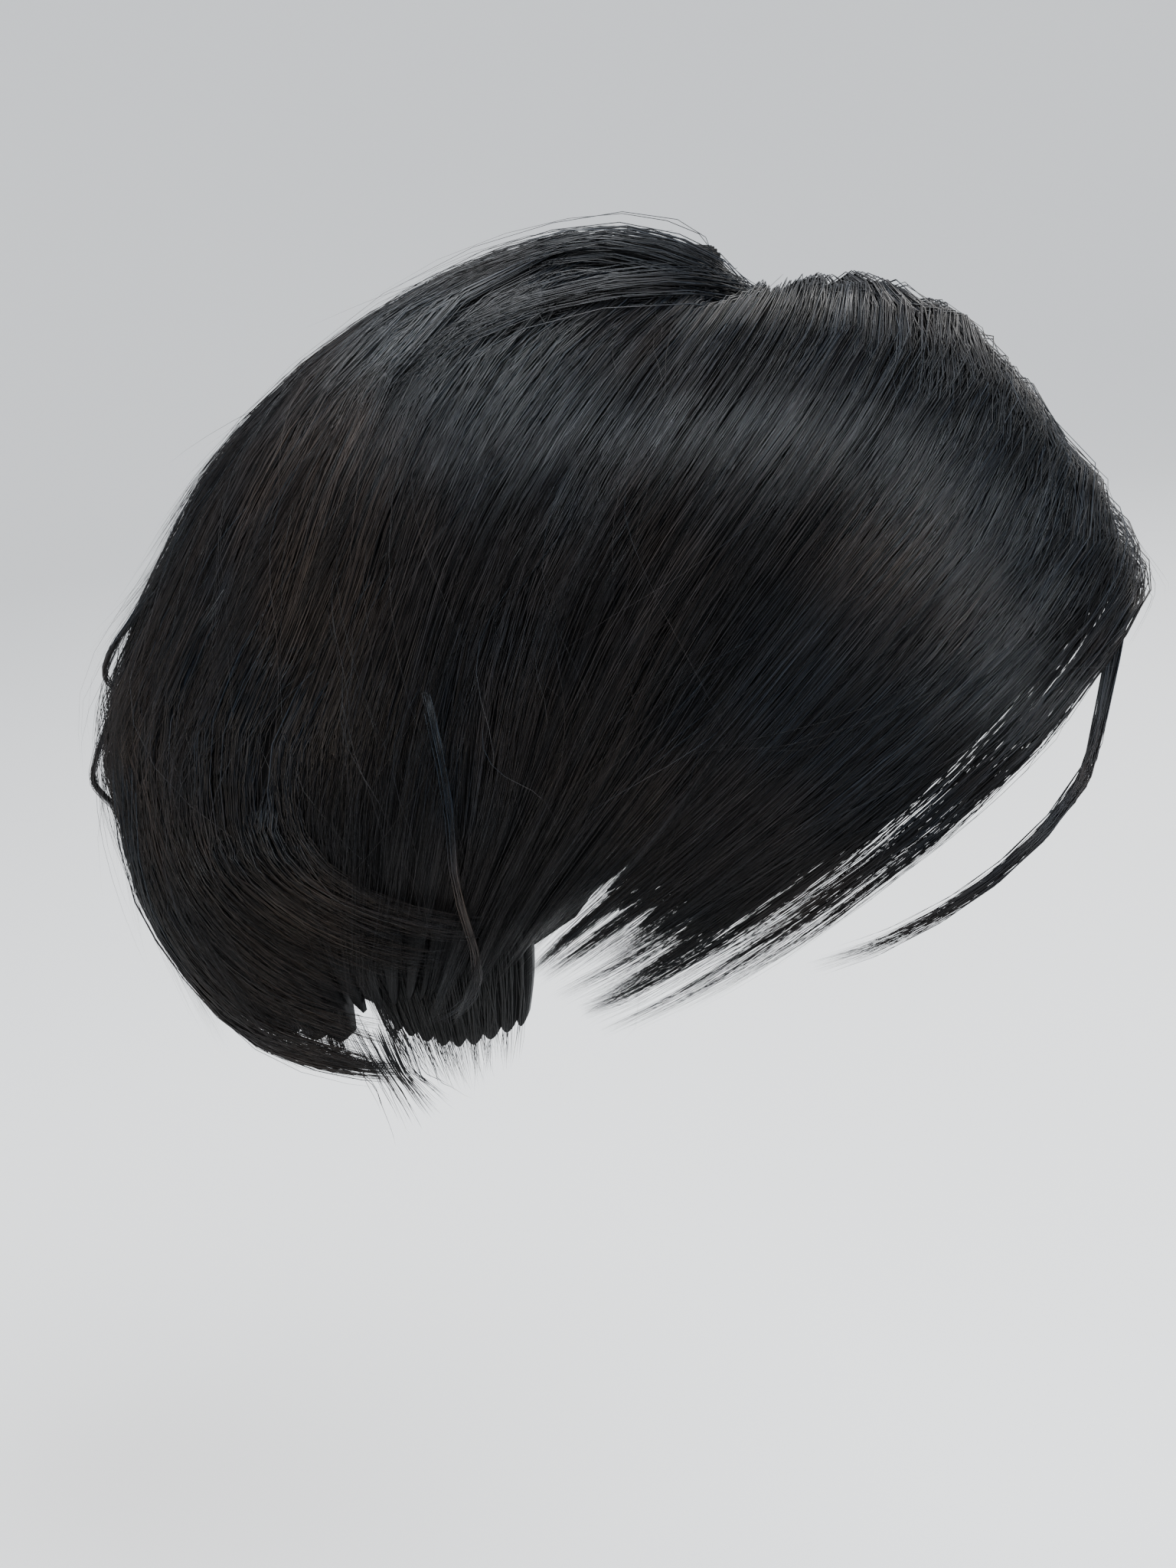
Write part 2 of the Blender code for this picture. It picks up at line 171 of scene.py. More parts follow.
# Strands over them. Reach and level are the lowest and highest shares of the length and of the
# depth of hair, and layered is the share of locks that end higher up. Drift is how far locks lean
# off the guides, in guides, thin the share of hair at the first guide, and flick lifts tips.
StrandSet = namedtuple(
    "StrandSet", "name first last count points clumps reach layered level drift thin flick slot"
)
STRAND_SETS = (
    StrandSet(
        "fringe_strands", 0.0, 2.05, 3200, 11, 40, (0.86, 1.08), 0.20, (0.84, 1.03), 0.16, 0.45, 0.003,
        "fringe_hair",
    ),
    StrandSet(
        "right_side_strands", 1.9, 4.1, 3300, 10, 48, (0.82, 1.06), 0.40, (0.84, 1.05), 0.20, 1.0, 0.005,
        "side_hair",
    ),
    StrandSet(
        "crown_strands", 4.0, 6.1, 3300, 10, 50, (0.84, 1.04), 0.45, (0.84, 1.05), 0.20, 1.0, 0.005,
        "crown_hair",
    ),
    StrandSet(
        "back_strands", 6.0, 8.1, 2200, 9, 46, (0.84, 1.04), 0.35, (0.84, 1.04), 0.18, 1.0, 0.005,
        "crown_hair",
    ),
    StrandSet(
        "left_side_strands", 8.0, 12.0, 2500, 9, 70, (0.86, 1.04), 0.30, (0.84, 1.03), 0.16, 1.0, 0.004,
        "side_hair",
    ),
)

TurnSet = namedtuple("TurnSet", "name count clumps start end")
TURN_SET = TurnSet("turned_strands", 1500, 46, (0.0, 0.45), (0.68, 1.0))

UnderSet = namedtuple("UnderSet", "node count clumps spread")
UNDER_SETS = (
    UnderSet("nape_hair", 760, 36, 0.10),
    UnderSet("right_ear_tab_hair", 300, 12, 0.16),
    UnderSet("left_ear_tab_hair", 240, 12, 0.16),
)

# Bundles that leave the sections: places along each (left, back, up, lift in metres), how many
# strands, how wide the bundle is at its root and tip, and how far its strands hang below the route,
# in metres.
Bundle = namedtuple("Bundle", "name count root_spread tip_spread drop radius route")
BUNDLES = (
    Bundle("part_lift_upper", 300, 0.008, 0.018, 0.012, 0.00014, (
        (0.17, -0.41, 0.90, 0.030), (0.06, -0.40, 0.92, 0.039), (0.00, -0.34, 0.94, 0.0445),
        (-0.03, -0.22, 0.97, 0.0455), (-0.04, -0.06, 0.99, 0.0400), (-0.10, 0.12, 0.98, 0.0330),
        (-0.24, 0.34, 0.90, 0.0250), (-0.40, 0.54, 0.74, 0.0215))),
    Bundle("part_lift_front", 150, 0.007, 0.014, 0.007, 0.00014, (
        (0.18, -0.43, 0.89, 0.030), (0.06, -0.44, 0.89, 0.038), (-0.08, -0.36, 0.93, 0.041),
        (-0.20, -0.18, 0.96, 0.0370), (-0.32, 0.02, 0.95, 0.0310), (-0.48, 0.20, 0.85, 0.0250),
        (-0.66, 0.32, 0.68, 0.0205))),
    Bundle("face_strand", 90, 0.0045, 0.0030, 0.0, 0.00014, (
        (0.20, -0.94, 0.33, 0.050), (0.11, -0.96, 0.28, 0.050), (-0.02, -0.98, 0.18, 0.0445),
        (-0.13, -0.99, 0.06, 0.0410), (-0.29, -0.95, -0.02, 0.0360), (-0.41, -0.91, -0.09, 0.0280),
        (-0.55, -0.82, -0.15, 0.0200), (-0.67, -0.73, -0.18, 0.0150))),
    Bundle("side_lock", 26, 0.0016, 0.0022, 0.0, 0.00014, (
        (-0.90, -0.06, 0.44, 0.0215), (-0.96, -0.10, 0.24, 0.0205), (-0.985, -0.10, 0.06, 0.0195),
        (-0.99, -0.12, -0.10, 0.0180), (-0.985, -0.07, -0.18, 0.0170), (-0.98, 0.03, -0.22, 0.0160))),
    Bundle("lower_back_lock", 300, 0.010, 0.004, 0.0, 0.00015, (
        (-0.60, 0.76, 0.22, 0.0205), (-0.62, 0.78, -0.04, 0.0205), (-0.63, 0.74, -0.20, 0.0170),
        (-0.75, 0.58, -0.32, 0.0140), (-0.88, 0.34, -0.36, 0.0110), (-0.94, 0.12, -0.36, 0.0095))),
    Bundle("upper_back_flick", 40, 0.0050, 0.0035, 0.0, 0.00011, (
        (-0.31, 0.79, 0.53, 0.0195), (-0.32, 0.83, 0.45, 0.0220), (-0.33, 0.86, 0.38, 0.0250),
        (-0.34, 0.88, 0.33, 0.0255), (-0.34, 0.89, 0.30, 0.0225), (-0.35, 0.89, 0.28, 0.0195))),
    Bundle("lower_back_flick", 44, 0.0050, 0.0035, 0.0, 0.00011, (
        (-0.34, 0.89, 0.31, 0.0195), (-0.35, 0.91, 0.22, 0.0235), (-0.36, 0.92, 0.15, 0.0260),
        (-0.36, 0.93, 0.10, 0.0270), (-0.36, 0.93, 0.06, 0.0240), (-0.36, 0.93, 0.01, 0.0195),
        (-0.36, 0.93, -0.07, 0.0175))),
    Bundle("nape_wisps", 70, 0.014, 0.022, 0.0, 0.00010, (
        (-0.90, 0.24, -0.28, 0.006), (-0.89, 0.22, -0.36, 0.006), (-0.88, 0.20, -0.43, 0.005),
        (-0.87, 0.16, -0.49, 0.006))),
)
# The bundle that takes the place of a solid of its own.
BUNDLE_NODES = {"face_strand": "face_lock"}

LOOSE_STRAND_POINTS = 10
UNDER_STRAND_POINTS = 7
STRAND_SIDES = 3

# The share of strands that belong to no lock, and how far a lock narrows towards its tip.
FREE_STRANDS = 0.28
TIP_PINCH = 0.74

# How far the edges of a lock of strands lie under its middle, in metres.
LOCK_FALL = 0.0030
UV_CELLS = 64
UV_INSET = 0.08
UV_NAME = "OFBake"

# The photograph's view: the middle of the wig at this pixel of a 1536 by 2048 picture.
PICTURE_WIDTH = 1536
PICTURE_HEIGHT = 2048
MIDDLE_PIXEL_X = 742
MIDDLE_PIXEL_Y = 1048
FOCAL_PIXELS = 3640
VIEW_AZIMUTH = math.radians(-67)
VIEW_ELEVATION = math.radians(17)
VIEW_ROLL = math.radians(-6.5)
VIEW_DISTANCE = 0.70
WIG_MIDDLE = Vector((0.0, 0.0, -0.100))
SENSOR_MM = 36.0


class WigSizes(bpy.types.PropertyGroup):
    strand_radius: bpy.props.FloatProperty(
        name="Strand radius", description="Half the width of a strand of hair",
        default=0.00014, unit="LENGTH",
    )
    loose_radius: bpy.props.FloatProperty(
        name="Loose hair radius", description="Half the width of a loose hair",
        default=0.00006, unit="LENGTH",
    )
    lock_ridge: bpy.props.FloatProperty(
        name="Lock ridge", description="How far the locks under the strands stand up",
        default=0.0016, unit="LENGTH",
    )
    base_sink: bpy.props.FloatProperty(
        name="Lock depth", description="How far the locks lie under the hair's surface",
        default=0.0020, unit="LENGTH",
    )
    loose_hairs: bpy.props.IntProperty(
        name="Loose hairs", description="Fine hairs that stand off the outline",
        default=170,
    )
    crossing_hairs: bpy.props.IntProperty(
        name="Crossing hairs", description="Fine hairs that lie across the locks",
        default=420,
    )


class WigColours(bpy.types.PropertyGroup):
    black: bpy.props.FloatVectorProperty(
        name="Black", description="Deepest hair", subtype="COLOR", size=4,
        default=(0.0022, 0.0023, 0.0027, 1.0),
    )
    # Blue-black strand tone, mixed in at random over the strands: partly the hair's own tone, partly a
    # painted cool sheen.
    cool_tone_and_sheen: bpy.props.FloatVectorProperty(
        name="Cool", description="Blue-black hair", subtype="COLOR", size=4,
        default=(0.0100, 0.0160, 0.0240, 1.0),
    )
    # Brown-black tone, laid in a band along the strands' middle lengths: partly the hair's own tone, partly
    # a painted brown sheen.
    brown_tone_and_sheen: bpy.props.FloatVectorProperty(
        name="Brown", description="Brown-black hair", subtype="COLOR", size=4,
        default=(0.048, 0.031, 0.020, 1.0),
    )
    net: bpy.props.FloatVectorProperty(
        name="Net", description="Cap net", subtype="COLOR", size=4,
        default=(0.014, 0.013, 0.012, 1.0),
    )
    floor: bpy.props.FloatVectorProperty(
        name="Floor", description="Pale floor and backdrop", subtype="COLOR", size=4,
        default=(0.86, 0.86, 0.85, 1.0),
    )


# Shapes

def ramp(value, start, end):
    """0 at start and 1 at end, with a smooth rise between."""
    share = np.clip((value - start) / (end - start), 0.0, 1.0)
    return share * share * (3 - 2 * share)


def curve_through(pick, last, where):
    """Smooth curve through pick(0) to pick(last), at each where, which counts them."""
    index = np.clip(np.floor(where).astype(int), 0, last - 1)
    share = (where - index)[..., None]
    a, b, c, d = (pick(np.clip(index + step, 0, last)) for step in (-1, 0, 1, 2))
    bend = (2 * a - 5 * b + 4 * c - d) * share**2 + (3 * b - a - 3 * c + d) * share**3
    return 0.5 * (2 * b + (c - a) * share + bend)


def place_on(guides, across, along):
    """Directions and depth shares between guides. Across counts guides, and along runs from 0 to 1."""
    places = along * (guides.shape[1] - 1)

    def on_guide(guide):
        return curve_through(lambda place: guides[guide, place], guides.shape[1] - 1, places)

    found = curve_through(on_guide, guides.shape[0] - 1, across)
    return found[..., :3], found[..., 3]


def unit(vectors):
    return vectors / np.maximum(np.linalg.norm(vectors, axis=-1, keepdims=True), 1e-9)


def on_head(direction, lift):
    """Points in these directions from the head form's middle, lifted off the form."""
    across = unit(direction)
    height = np.where(across[..., 2] > 0, HEAD_TOP_HEIGHT, HEAD_LOW_HEIGHT)
    breadth = np.full_like(height, HEAD_HALF_BREADTH)
    half = np.stack([breadth, np.full_like(height, HEAD_HALF_LENGTH), height], -1)
    surface = across * half
    normal = unit(across / half)
    return surface + normal * np.asarray(lift)[..., None] - np.array([0.0, 0.0, HEAD_TOP_HEIGHT])


def floor_lift(direction):
    """Lift of the top hair's underside: on the cap, and further down over the under hair."""
    up = unit(direction)[..., 2]
    room = (UNDER_HAIR_DEPTH + HAIR_CLEARANCE) * (1 - ramp(up, UNDER_HAIR_FULL, UNDER_HAIR_TOP))
    return CAP_WALL + HAIR_CLEARANCE + room


def finish_object(name, mesh, material):
    mesh.materials.append(material)
    piece = bpy.data.objects.new(name, mesh)
    bpy.context.scene.collection.objects.link(piece)
    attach(piece, "root")
    return piece


def lock_piece(name, columns, rows, outer, inner, material):
    """A closed body over a grid, with outer and inner giving points for arrays of x and y from 0 to 1."""
    sheet = bmesh.new()
    uv = sheet.loops.layers.uv.new(UV_NAME)
    bmesh.ops.create_grid(sheet, x_segments=columns, y_segments=rows, size=0.5)
    bmesh.ops.translate(sheet, verts=sheet.verts, vec=(0.5, 0.5, 0.0))
    first = list(sheet.verts)
    doubled = bmesh.ops.extrude_face_region(sheet, geom=sheet.faces[:])
    second = [item for item in doubled["geom"] if isinstance(item, bmesh.types.BMVert)]
    sides = {vert: 0 for vert in first}
    sides.update({vert: 1 for vert in second})
    for face in sheet.faces:
        side = min(sides[vert] for vert in face.verts)
        for loop in face.loops:
            loop[uv].uv = ((loop.vert.co.x * 0.98 + 0.01 + side) / 2, loop.vert.co.y * 0.98 + 0.01)
    for verts, place in ((first, outer), (second, inner)):
        x = np.array([vert.co.x for vert in verts])
        y = np.array([vert.co.y for vert in verts])
        for vert, point in zip(verts, place(x, y)):
            vert.co = point
    bmesh.ops.recalc_face_normals(sheet, faces=sheet.faces)
    if sheet.calc_volume(signed=True) < 0:
        bmesh.ops.reverse_faces(sheet, faces=sheet.faces)
    mesh = bpy.data.meshes.new(name)
    sheet.to_mesh(mesh)
    sheet.free()
    mesh.shade_smooth()
    return finish_object(name, mesh, material)


def strand_faces(points):
    """One strand's triangles and their corners' places (round, along), for rings that end in a point."""
    rings = points - 1
    tip = rings * STRAND_SIDES
    faces = [(0, 1, 2)]
    places = [((0.0, 0.0), (0.5, 0.0), (1.0, 0.0))]
    for ring in range(rings):
        start, along = ring * STRAND_SIDES, ring / rings
        for side in range(STRAND_SIDES):
            a, b = start + side, start + (side + 1) % STRAND_SIDES
            left, right = side / STRAND_SIDES, (side + 1) / STRAND_SIDES
            if ring == rings - 1:
                faces.append((a, tip, b))
                places.append(((left, along), ((left + right) / 2, 1.0), (right, along)))
                continue
            further = (ring + 1) / rings
            faces += [(a, a + STRAND_SIDES, b + STRAND_SIDES), (a, b + STRAND_SIDES, b)]
            places += [
                ((left, along), (left, further), (right, further)),
                ((left, along), (right, further), (right, along)),
            ]
    return np.array(faces), np.array(places)


def strand_piece(name, paths, radii, material):
    """Strands with three sides along paths (strand, point, xyz), as one mesh, each ending in a point."""
    count, points = paths.shape[:2]
    tangent = unit(np.gradient(paths, axis=1))
    outward = unit(paths - np.array([0.0, 0.0, -HEAD_TOP_HEIGHT]))
    side = unit(np.cross(tangent, outward))
    up = np.cross(side, tangent)
    angles = math.pi / 2 + np.arange(STRAND_SIDES) * 2 * math.pi / STRAND_SIDES
    spokes = np.cos(angles)[:, None] * side[:, :, None, :] + np.sin(angles)[:, None] * up[:, :, None, :]
    rings = paths[:, :, None, :] + spokes * radii[:, :, None, None]
    verts = np.concatenate([rings[:, :-1].reshape(count, -1, 3), paths[:, -1:]], axis=1)
    faces, places = strand_faces(points)
    all_faces = (faces[None] + np.arange(count)[:, None, None] * verts.shape[1]).reshape(-1, 3)
    mesh = bpy.data.meshes.new(name)
    mesh.from_pydata(verts.reshape(-1, 3), [], all_faces)
    cell = np.stack([np.arange(count) % UV_CELLS, np.arange(count) // UV_CELLS], -1)
    corners = (cell[:, None, None, :] + UV_INSET + (1 - 2 * UV_INSET) * places[None]) / UV_CELLS
    layer = mesh.uv_layers.new(name=UV_NAME)
    layer.data.foreach_set("uv", corners.astype(np.float32).ravel())
    mesh.shade_smooth()
    return finish_object(name, mesh, material)


def strand_radii(chance, shares, count, radius):
    """Radii that swell past the root and thin out to the tip, each strand a little different."""
    profile = (0.55 + 0.45 * ramp(shares, 0.0, 0.15)) * (1 - 0.80 * ramp(shares, 0.45, 1.0))
    return radius * chance.uniform(0.65, 1.30, count)[:, None] * profile[None, :]


def to_part(direction, share):
    """Directions drawn towards the part by share."""
    back, front = np.array(PART_BACK), np.array(PART_FRONT)
    run = front - back
    where = np.clip(((direction - back) @ run) / (run @ run), 0.0, 1.0)
    return direction + (back + where[..., None] * run - direction) * share[..., None]


def top_strand_paths(chance, strands):
    """Paths of one set of strands, in clumps that draw together towards their tips."""
    shares = np.linspace(0.0, 1.0, strands.points) ** 1.15
    step = (strands.last - strands.first) / strands.clumps
    middles = strands.first + step * (np.arange(strands.clumps) + chance.uniform(0.1, 0.9, strands.clumps))
    reach = chance.uniform(*strands.reach, strands.clumps)
    short = chance.random(strands.clumps) < strands.layered
    reach = np.where(short, chance.uniform(0.48, strands.reach[0], strands.clumps), reach)
    level = chance.uniform(*strands.level, strands.clumps)
    drift = chance.normal(0.0, strands.drift, strands.clumps)
    flick = chance.normal(0.25, 0.8, strands.clumps) * strands.flick
    swing = chance.uniform(0, 2 * math.pi, strands.clumps)
    share_here = strands.thin + (1 - strands.thin) * ramp(middles - strands.first, 0.0, 1.0)
    share_here = share_here * chance.uniform(0.4, 1.6, strands.clumps)
    clump = np.sort(chance.choice(strands.clumps, strands.count, p=share_here / share_here.sum()))
    free = chance.random(strands.count) < FREE_STRANDS
    aside = chance.normal(0.0, 1.0, strands.count)
    width = step * chance.uniform(0.45, 1.5, strands.clumps)
    own = aside * width[clump] * np.where(free, 2.4, 1.0)
    fall = np.where(free, 0.0, np.minimum(aside**2, 4.0) / 4.0)
    length = reach[clump] * (1 - np.abs(chance.normal(0.0, 0.05, strands.count)))
    height = np.clip(level[clump] + chance.normal(0.0, 0.022, strands.count), 0.80, 1.07)
    along = np.clip(length[:, None], 0.3, 1.08) * shares[None]
    draw = np.where(free, 0.3, chance.uniform(0.7, 1.1, strands.count))
    pinch = 1 - TIP_PINCH * ramp(shares, 0.10, 1.0)[None] * draw[:, None]
    lean = (drift[clump] + chance.normal(0.0, 0.03, strands.count))[:, None] * along**2
    wave = 0.035 * np.sin(along * 7.0 + swing[clump][:, None]) * along
    own_wave = np.where(chance.random(strands.count) < 0.3, 0.10, 0.03)
    own_wave = own_wave * chance.uniform(0.3, 1.0, strands.count)
    turns = chance.uniform(2.0, 9.0, strands.count)[:, None] * along
    turns = turns + chance.uniform(0, 6.3, strands.count)[:, None]
    wave = wave + own_wave[:, None] * np.sin(turns) * along
    across = middles[clump][:, None] + own[:, None] * pinch + lean + wave
    across = np.clip(across, -0.12, TOP_GUIDES.shape[0] - 1 + 0.12)
    direction, depth = place_on(TOP_GUIDES, across, along)
    low = floor_lift(direction)
    direction = to_part(unit(direction), 0.45 * (1 - ramp(shares, 0.0, 0.09))[None] * np.ones_like(across))
    rise = 0.50 + 0.50 * ramp(shares, 0.0, 0.12)[None]
    sink = 0.0010 * ramp(along, 0.6, 1.0)
    tips = ramp(shares, 0.72, 1.0)[None] ** 2
    stray = chance.normal(0.0, 0.0008, strands.count)[:, None] * ramp(shares, 0.3, 1.0)[None]
    stray = stray - LOCK_FALL * fall[:, None] * ramp(shares, 0.1, 0.5)[None]
    lift = low + depth * HAIR_DEPTH * rise * height[:, None] - sink + stray
    lift = lift + (flick[clump] + chance.normal(0, 0.0010, strands.count))[:, None] * tips
    return on_head(direction, np.maximum(lift, CAP_WALL + 0.001)), shares


def turned_strand_paths(chance, strands):
    """Paths of the layer that turns forward, from under the top hair to tips that lie on it."""
    shares = np.linspace(0.0, 1.0, LOOSE_STRAND_POINTS)
    last = TURN_GUIDES.shape[0] - 1
    middles = last * (np.arange(strands.clumps) + chance.uniform(0.0, 1.0, strands.clumps)) / strands.clumps
    start = chance.uniform(*strands.start, strands.clumps)
    end = chance.uniform(*strands.end, strands.clumps)
    above = chance.uniform(-0.0010, 0.0014, strands.clumps)
    lean = chance.normal(0.0, 0.12, strands.clumps)
    clump = np.sort(chance.integers(0, strands.clumps, strands.count))
    own = chance.normal(0.0, 1.0, strands.count) * chance.uniform(0.04, 0.14, strands.clumps)[clump]
    length = (end - start)[clump] * (1 - np.abs(chance.normal(0.0, 0.09, strands.count)))
    along = start[clump][:, None] + length[:, None] * shares[None]
    pinch = 1 - 0.6 * ramp(shares, 0.1, 1.0)[None]
    wander = chance.normal(0.0, 0.13, strands.count)[:, None] * shares[None] ** 2
    across = middles[clump][:, None] + own[:, None] * pinch
    across = across + lean[clump][:, None] * shares[None] ** 2 + wander
    direction, lift = place_on(TURN_GUIDES, np.clip(across, -0.1, last + 0.3), along)
    tips = np.abs(chance.normal(0.0, 0.0011, strands.count))[:, None] * ramp(shares, 0.7, 1.0)[None]
    lift = lift + above[clump][:, None] + tips - 0.0050 * (1 - ramp(shares, 0.0, 0.22))[None]
    lift = lift + chance.normal(0.0, 0.0006, strands.count)[:, None]
    return on_head(direction, lift), shares


def under_strand_paths(chance, guides, strands):
    shares = np.linspace(0.0, 1.0, UNDER_STRAND_POINTS)
    last = guides.shape[0] - 1
    middles = chance.uniform(0.0, last, strands.clumps)
    clump = chance.integers(0, strands.clumps, strands.count)
    own = chance.normal(0.0, last / strands.clumps, strands.count)
    length = chance.uniform(0.86, 1.06, strands.clumps)[clump]
    length = length * (1 - np.abs(chance.normal(0, 0.10, strands.count)))
    along = length[:, None] * shares[None]
    lean = chance.normal(0.0, strands.spread, strands.count)[:, None] * along**2
    across = middles[clump][:, None] + own[:, None] * (1 - 0.6 * shares[None]) + lean
    across = np.clip(across, -0.05, last + 0.05)
    direction, depth = place_on(guides, across, along)
    lift = CAP_WALL + HAIR_CLEARANCE + np.clip(depth, 0.1, 1.0) * UNDER_HAIR_DEPTH
    lift = lift * chance.uniform(0.85, 1.06, strands.count)[:, None]
    lift = lift + np.abs(chance.normal(0, 0.0012, strands.count))[:, None] * shares[None] ** 3
    return on_head(direction, lift), shares


def bundle_paths(chance, bundle):
    """Strands along one route, spread apart at its root and tip and drawn together between."""
    shares = np.linspace(0.0, 1.0, LOOSE_STRAND_POINTS)
    route = np.array(bundle.route)
    length = 1 - np.abs(chance.normal(0.0, 0.08, bundle.count))
    start = np.abs(chance.normal(0.0, 0.05, bundle.count))
    where = (start[:, None] + (length - start)[:, None] * shares[None]) * (len(route) - 1)
    found = curve_through(lambda place: route[place], len(route) - 1, where)
    middle = on_head(found[..., :3], found[..., 3])
    tangent = unit(np.gradient(middle, axis=1))
    outward = unit(middle - np.array([0.0, 0.0, -HEAD_TOP_HEIGHT]))
    sideways = np.cross(tangent, outward)
    spread = bundle.root_spread + (bundle.tip_spread - bundle.root_spread) * shares
    spread = spread * (0.55 + 0.45 * np.abs(2 * shares - 1))
    aside = chance.normal(0.0, 0.5, bundle.count)[:, None] * spread[None]
    above = chance.normal(0.0, 0.14, bundle.count)[:, None] * spread[None]
    hang = bundle.drop * (chance.random(bundle.count) ** 0.7)[:, None]
    above = above - hang * np.sin(math.pi * shares[None] ** 0.6)
    return middle + sideways * aside[..., None] + outward * above[..., None], shares


def loose_hair_paths(chance, count, crossing):
    """Fine hairs: those that stand off the outline, or those that lie across the locks."""
    shares = np.linspace(0.0, 1.0, LOOSE_STRAND_POINTS)
    across = chance.uniform(0.1, 11.9, count)
    start = chance.uniform(0.05, 0.62, count)
    length = chance.uniform(0.18, 0.42, count)
    along = start[:, None] + length[:, None] * shares[None]
    if crossing:
        lean = chance.normal(0.0, 0.75, count)[:, None] * shares[None] ** 1.3
        off = 0.0012 + np.abs(chance.normal(0, 0.0008, count))[:, None] * shares[None]
    else:
        lean = chance.normal(0.0, 0.45, count)[:, None] * shares[None] ** 1.5
        off = 0.001 + np.abs(chance.normal(0.006, 0.004, count))[:, None] * shares[None] ** 1.6
    curl = chance.uniform(0.0, 0.12, count)[:, None]
    curl = curl * np.sin(shares[None] * chance.uniform(3, 9, count)[:, None])
    across = np.clip(across[:, None] + lean + curl, 0.0, 12.0)
    direction, depth = place_on(TOP_GUIDES, across, np.clip(along, 0.0, 1.02))
    lift = floor_lift(direction) + depth * HAIR_DEPTH + off
    return on_head(direction, lift), shares


# Finishes

class Signal:
    """One output of a node, which sums and products can be written with."""

    def __init__(self, finish, socket):
        self.finish = finish
        self.socket = socket

    def _with(self, operation, *others):
        values = {index + 1: other for index, other in enumerate(others)}
        return self.finish.node("ShaderNodeMath", {"operation": operation}, {0: self, **values})

    def __add__(self, other):
        return self._with("ADD", other)

    def __mul__(self, other):
        return self._with("MULTIPLY", other)

    def __rmul__(self, other):
        return self._with("MULTIPLY", other)

    def __radd__(self, other):
        return self._with("ADD", other)

    def __sub__(self, other):
        return self._with("SUBTRACT", other)

    def __rsub__(self, other):
        return (self * -1.0) + other

    def fraction(self):
        return self._with("FRACT")


class Finish:
    """A material under construction."""

    def __init__(self, name):
        self.material = bpy.data.materials.new(name)
        self.material.use_nodes = True
        self.tree = self.material.node_tree
        self.shader = self.tree.nodes["Principled BSDF"]

    def node(self, kind, settings, inputs, output=0):
        made = self.tree.nodes.new(kind)
        for key, value in settings.items():
            if key == "stops":
                for element, (place, colour) in zip(self._elements(made, len(value)), value):
                    element.position = place
                    element.color = colour
            else:
                setattr(made, key, value)
        for key, value in inputs.items():
            if isinstance(value, Signal):
                self.tree.links.new(value.socket, made.inputs[key])
            else:
                made.inputs[key].default_value = value
        return Signal(self, made.outputs[output])

    def _elements(self, made, count):
        elements = made.color_ramp.elements
        while len(elements) < count:
            elements.new(1.0)
        return elements

    def ramp(self, value, stops):
        return self.node("ShaderNodeValToRGB", {"stops": stops}, {"Fac": value})

    def feed(self, socket, value):
        if isinstance(value, Signal):
            self.tree.links.new(value.socket, self.shader.inputs[socket])
        else:
            self.shader.inputs[socket].default_value = value

    def bump(self, height, strength, distance):
        values = {"Height": height, "Strength": strength, "Distance": distance}
        return self.node("ShaderNodeBump", {}, values)


def grey(value):
    return (value, value, value, 1.0)


def strand_finish(name, black, cool_tone_and_sheen, brown_tone_and_sheen, brown_sheen_share, roughness, specular):
    """Each strand has its own tone, from its cell of the map, partly blue-black as a painted cool sheen,
    with brown along its middle lengths as a painted brown sheen over a brown-black tone.
    """
    made = Finish(name)
    uv = made.node("ShaderNodeUVMap", {"uv_map": UV_NAME}, {})
    cells = made.node("ShaderNodeVectorMath", {"operation": "SCALE"}, {0: uv, "Scale": float(UV_CELLS)})
    cell = made.node("ShaderNodeVectorMath", {"operation": "FLOOR"}, {0: cells})
    own = made.node("ShaderNodeTexWhiteNoise", {"noise_dimensions": "2D"}, {"Vector": cell})
    wide = made.node("ShaderNodeVectorMath", {"operation": "MULTIPLY"}, {0: cells, 1: (1 / 16, 1.0, 0.0)})
    group = made.node("ShaderNodeVectorMath", {"operation": "FLOOR"}, {0: wide})
    shared = made.node("ShaderNodeTexWhiteNoise", {"noise_dimensions": "2D"}, {"Vector": group})
    chance = own * 0.6 + shared * 0.4
    along = made.node("ShaderNodeSeparateXYZ", {}, {"Vector": cells}, 1).fraction()
    place = made.node("ShaderNodeTexCoord", {}, {}, 3)
    patches = made.node("ShaderNodeTexNoise", {}, {"Vector": place, "Scale": 16.0, "Detail": 3.0})
    # Painted brown sheen: brown laid in a band along the strands' middle lengths, in patches by place and
    # on some strands.
    mid_length_sheen_band = made.ramp(along, [(0.22, grey(0)), (0.48, grey(1)), (0.80, grey(0.75)), (1.0, grey(0.2))])
    sheen_patches = made.ramp(patches, [(0.40, grey(0.15)), (0.62, grey(1))])
    spotted = made.ramp(chance, [(0.30, grey(0)), (0.95, grey(1))])
    brown_sheen_amount = mid_length_sheen_band * sheen_patches * spotted * brown_sheen_share
    # Black to blue-black by each strand's chance: partly the hair's own tone, partly a painted cool sheen.
    depth = made.ramp(chance, [(0.45, black), (1.0, cool_tone_and_sheen)])
    colour = made.node("ShaderNodeMix", {"data_type": "RGBA"}, {0: brown_sheen_amount, 6: depth, 7: brown_tone_and_sheen}, 2)
    made.feed("Base Color", colour)
    made.feed("Roughness", chance * 0.16 + (roughness - 0.08))
    made.feed("Specular IOR Level", specular)
    return made.material


